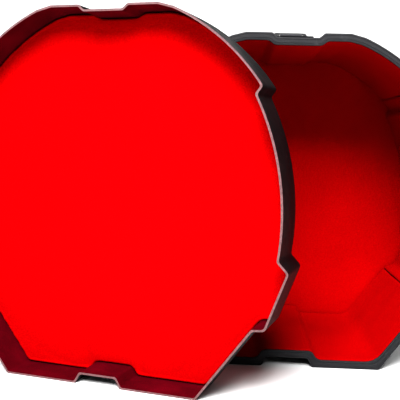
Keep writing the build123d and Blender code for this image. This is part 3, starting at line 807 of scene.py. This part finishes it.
# %% Floor pad and lid pad
def pad_sculpt(crown, crease=0.0):
    """A crown that falls away over the last 40 mm of the border, and a soft crease over the strap channel."""

    def shape(point, normal):
        x, z = point.x / MM, point.z / MM - HEIGHT / 2
        border = max(0.0, 1 - (math.hypot(x, z) / 270) ** 6)
        fold = -crease * math.exp(-((((abs(x) - 44) / 7) ** 2))) * (1 / (1 + math.exp((z + 205) / 9)))
        return (crown * (border - 1) + fold) * max(0.0, -normal.y)

    return shape


lay_foam("floor_pad", "base_floor_pad", 3.6, 5, ((90, 0.8), (30, 0.25)), sculpt=pad_sculpt(3.0))
lay_foam("lid_pad_plush", "lid_pad", 3.6, 8, ((110, 0.9), (34, 0.25)), body="lid", place=lid_place,
         sculpt=pad_sculpt(4.0, 2.2))

# %% [markdown]
# The straps are flat webbing. Their shape is the CAD's, with the edges rounded over.

# %% Straps
broken_edges("strap_top", "top_strap", webbing_finish, 0.5)
broken_edges("strap_long", "bottom_strap", webbing_finish, 0.5)
broken_edges("handle_strap", "handle_webbing", webbing_finish, 0.6, "handle")

# %% [markdown]
# A sewn box holds each eye: a rectangle of lockstitch, crossed where there is room. Each stitch is a small
# grain of thread. A ray cast onto the CAD mesh finds the webbing under it, so that it lies on the weave
# whichever way that stretch of webbing faces.

# %% Stitches
STITCH_PITCH, STITCH_HALF, THREAD = 3.6, 1.5, 0.4  # in mm
thread_finish = webbing("bonded_thread", (0.045, 0.045, 0.048), rib=0.0009, yarn=0.0006)


def sewn_box(name, node, low, high, facing, body="base", crossed=True):
    """Lockstitch round the box from low to high, on the side of the webbing that looks along facing."""
    ground = bmesh.new()
    ground.from_mesh(nodes[node].data)
    webbing_face = BVHTree.FromBMesh(ground)
    ground.free()
    along = Vector((0, high[1] - low[1], high[2] - low[2]))
    across = Vector((high[0] - low[0], 0, 0))
    first = Vector(low)
    corners = [first, first + across, first + across + along, first + along, first]
    if crossed:
        corners += [first + across + along, first + across, first + along]
    bm = bmesh.new()
    for start, end in zip(corners, corners[1:]):
        seam = end - start
        count = int(seam.length / STITCH_PITCH)
        for step in range(count):
            above = start + seam * ((step + 0.5) / count) + facing * 30
            hit = webbing_face.ray_cast(above * MM, -facing, 0.06)[0]
            if hit is None:
                continue
            axes = Matrix((seam.normalized(), facing.cross(seam.normalized()), facing)).transposed().to_4x4()
            shape = Matrix.Diagonal((STITCH_HALF * MM, THREAD * MM, THREAD * 0.8 * MM, 1))
            bmesh.ops.create_uvsphere(bm, u_segments=8, v_segments=6, radius=1,
                                      matrix=Matrix.Translation(hit) @ axes @ shape)
    for face in bm.faces:
        face.smooth = True
    return dress(mesh_object(name, bm), node, thread_finish, body)


UP, BEHIND, BOX_SIDE = Vector((0, 0, 1)), Vector((0, 1, 0)), 19.0
sewn_box("stitches_top", "top_strap", (-BOX_SIDE, -44.5, 515), (BOX_SIDE, -40.5, 515), UP, crossed=False)
sewn_box("stitches_long", "bottom_strap", (-BOX_SIDE, 169, 424), (BOX_SIDE, 169, 440), BEHIND)
for end, y in (("front", 12.0), ("rear", 112.0)):
    sewn_box(f"stitches_{end}", "handle_webbing", (-15, y, 539), (15, y + 6, 539), UP, "handle", crossed=False)

# %% [markdown]
# Plates and washers are punched from sheet, and tumbling takes their sharp corners off. A narrow bevel does
# the same, and it is what catches the light along a thin edge. The rings are bent from round wire and need
# none.

# %% Metal plates, washers and rings
broken_edges("anchor_plate_top", "top_anchor_plate", paint_finish, 0.4)
broken_edges("anchor_plate_bottom", "bottom_anchor_plate", paint_finish, 0.4)
for end in ("front", "rear"):
    broken_edges(f"ring_plate_{end}", f"handle_plate_{end}", paint_finish, 0.4)
    broken_edges(f"wire_ring_{end}", f"handle_ring_{end}", steel_finish, 0, f"{end}_ring")
for use in ("strap", "handle"):
    broken_edges(f"{use}_washer_set", f"{use}_washers", steel_finish, 0.25)

# %% [markdown]
# The buckle, the slide and the stow loop are injection moulded. Their edges are rounded more than those of
# the metal parts, because a mould with sharp corners would wear and the nylon wouldn't fill them.

# %% Nylon fittings
broken_edges("stow_loop_moulding", "stow_loop", fitting_finish, 0.5)
broken_edges("slide_moulding", "ladder_slide", fitting_finish, 0.8)
broken_edges("socket_moulding", "buckle_socket", fitting_finish, 1.0, "socket", 3)
broken_edges("plug_moulding", "buckle_plug", fitting_finish, 0.8, "plug", 3)

# %% [markdown]
# A rivet is turned, so its half section is spun round its axis: the flattened tail inside, the shank
# through the wall, and a low dome outside.

# %% Rivets
RIVET_RADIUS, HEAD_RADIUS, HEAD_HIGH, TAIL_HIGH = 2.4, 5.0, 2.0, 1.5


def spun_rivet(bm, inner, outer, dome=True):
    """A rivet whose shank runs from the point inner to the point outer, in mm; the dome stands beyond outer."""
    axis = (outer - inner).normalized()
    length = (outer - inner).length
    side = Vector((1, 0, 0))
    tail = HEAD_RADIUS - 1
    half_section = [(0, -TAIL_HIGH), (tail - 0.5, -TAIL_HIGH), (tail, -TAIL_HIGH + 0.5), (tail, 0),
                    (RIVET_RADIUS, 0), (RIVET_RADIUS, length)]
    if dome:
        half_section += [(HEAD_RADIUS, length), (HEAD_RADIUS, length + 0.4)]
        for step in range(1, 7):
            angle = math.radians(90 * step / 6)
            up = length + 0.4 + (HEAD_HIGH - 0.4) * math.sin(angle)
            half_section.append((HEAD_RADIUS * math.cos(angle), up))
    else:
        half_section += [(0, length)]
    verts = [bm.verts.new((inner + side * out + axis * up) * MM) for out, up in half_section]
    edges = [bm.edges.new(pair) for pair in zip(verts, verts[1:])]
    bmesh.ops.spin(bm, geom=verts + edges, cent=inner * MM, axis=axis, angle=math.radians(360), steps=24,
                   use_merge=True)


def rivet_set(name, node, places, dome=True):
    bm = bmesh.new()
    for inner, outer in places:
        spun_rivet(bm, Vector(inner), Vector(outer), dome)
    bmesh.ops.remove_doubles(bm, verts=bm.verts[:], dist=0.005 * MM)
    bmesh.ops.recalc_face_normals(bm, faces=bm.faces[:])
    shade(bm, 50)
    return dress(mesh_object(name, bm), node, steel_finish, "base")


RIVET_X, WASHER_THICK = 13.0, 1.2
rivet_low, rivet_high = (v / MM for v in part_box("handle_rivets"))
handle_ys = (rivet_low.y + HEAD_RADIUS, rivet_high.y - HEAD_RADIUS)
ceiling = rivet_low.z + TAIL_HIGH
rivet_set("handle_rivet_set", "handle_rivets",
          [((x, y, ceiling), (x, y, rivet_high.z - HEAD_HIGH)) for x in (-RIVET_X, RIVET_X) for y in handle_ys])
strap_low, strap_high = (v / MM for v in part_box("strap_rivets"))
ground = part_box("strap_washers")[0].z / MM + WASHER_THICK
top_y, bottom_y = strap_high.y - HEAD_RADIUS, strap_low.y + HEAD_RADIUS
strap_places = [((x, top_y, ceiling), (x, top_y, strap_high.z - HEAD_HIGH)) for x in (-RIVET_X, RIVET_X)]
strap_places += [((x, bottom_y, ground), (x, bottom_y, strap_low.z + HEAD_HIGH)) for x in (-RIVET_X, RIVET_X)]
rivet_set("strap_rivet_set", "strap_rivets", strap_places)
loop_low, loop_high = (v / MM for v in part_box("loop_rivets"))
loop_z = (loop_low.z + loop_high.z) / 2
loop_near, loop_far = loop_low.y + TAIL_HIGH, loop_high.y
rivet_set("loop_rivet_set", "loop_rivets",
          [((x, loop_near, loop_z), (x, loop_far, loop_z)) for x in (-RIVET_X, RIVET_X)], dome=False)

# %% [markdown]
# The grip is one rubber moulding on the webbing of the handle. It starts as a box, its long edges are
# rounded with a bevel, cross cuts give it rings of vertices, and those are moved: the ends draw in, the
# underside is scooped for four fingers, and a row of ribs crosses the top.

# %% Grip
GRIP_ROUNDING, GRIP_RINGS = 6.5, 80
RIB_PITCH, RIB_DEEP, RIBBED_HALF = 8.0, 0.9, 24.0
FINGER_PITCH, FINGER_DEEP = 20.5, 1.4
END_LENGTH, END_NARROW, END_LOW, WAIST = 9.0, 0.10, 0.22, 0.05  # how far the ends and the middle draw in
grip_low, grip_high = (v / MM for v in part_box("handle_grip"))
grip_middle, grip_size = (grip_low + grip_high) / 2, grip_high - grip_low
bm = bmesh.new()
bmesh.ops.create_cube(bm, size=1)
bmesh.ops.scale(bm, vec=(grip_size.x, grip_size.y, grip_size.z), verts=bm.verts[:])
long_edges = [e for e in bm.edges if abs((e.verts[0].co - e.verts[1].co).normalized().y) > 0.9]
bmesh.ops.bevel(bm, geom=long_edges, offset=GRIP_ROUNDING, offset_type="OFFSET", segments=6, profile=0.5,
                affect="EDGES", material=-1)
for cut in range(1, GRIP_RINGS):
    y = -grip_size.y / 2 + grip_size.y * cut / GRIP_RINGS
    bmesh.ops.bisect_plane(bm, geom=bm.verts[:] + bm.edges[:] + bm.faces[:], dist=1e-5, plane_co=(0, y, 0),
                           plane_no=(0, 1, 0))
for x in range(-20, 21, 5):
    bmesh.ops.bisect_plane(bm, geom=bm.verts[:] + bm.edges[:] + bm.faces[:], dist=1e-5, plane_co=(x, 0, 0),
                           plane_no=(1, 0, 0))
for vert in bm.verts:
    x, y, z = vert.co
    end = max(0.0, (abs(y) - (grip_size.y / 2 - END_LENGTH)) / END_LENGTH)
    draw_in = 1 - END_NARROW * end**2
    vert.co.x = x * draw_in * (1 - WAIST * math.cos(math.pi * y / grip_size.y) ** 2)
    vert.co.z = z * (1 - END_LOW * end**2)
    inside = min(1.0, max(0.0, (grip_size.y / 2 - 10 - abs(y)) / 6))
    if z < 0:
        finger = 0.5 + 0.5 * math.cos(2 * math.pi * y / FINGER_PITCH + math.pi)
        vert.co.z += FINGER_DEEP * inside * finger * min(1, -z / 5)
    elif abs(x) < RIBBED_HALF:
        rib = 0.5 + 0.5 * math.cos(2 * math.pi * y / RIB_PITCH)
        vert.co.z -= RIB_DEEP * inside * (1 - rib**2) * min(1, z / 5)
bmesh.ops.scale(bm, vec=(MM, MM, MM), verts=bm.verts[:])
bmesh.ops.translate(bm, vec=grip_middle * MM, verts=bm.verts[:])
bmesh.ops.recalc_face_normals(bm, faces=bm.faces[:])
shade(bm, 45)
grip = mesh_object("grip_moulding", bm)
dress(grip, "handle_grip", grip_finish, "handle")
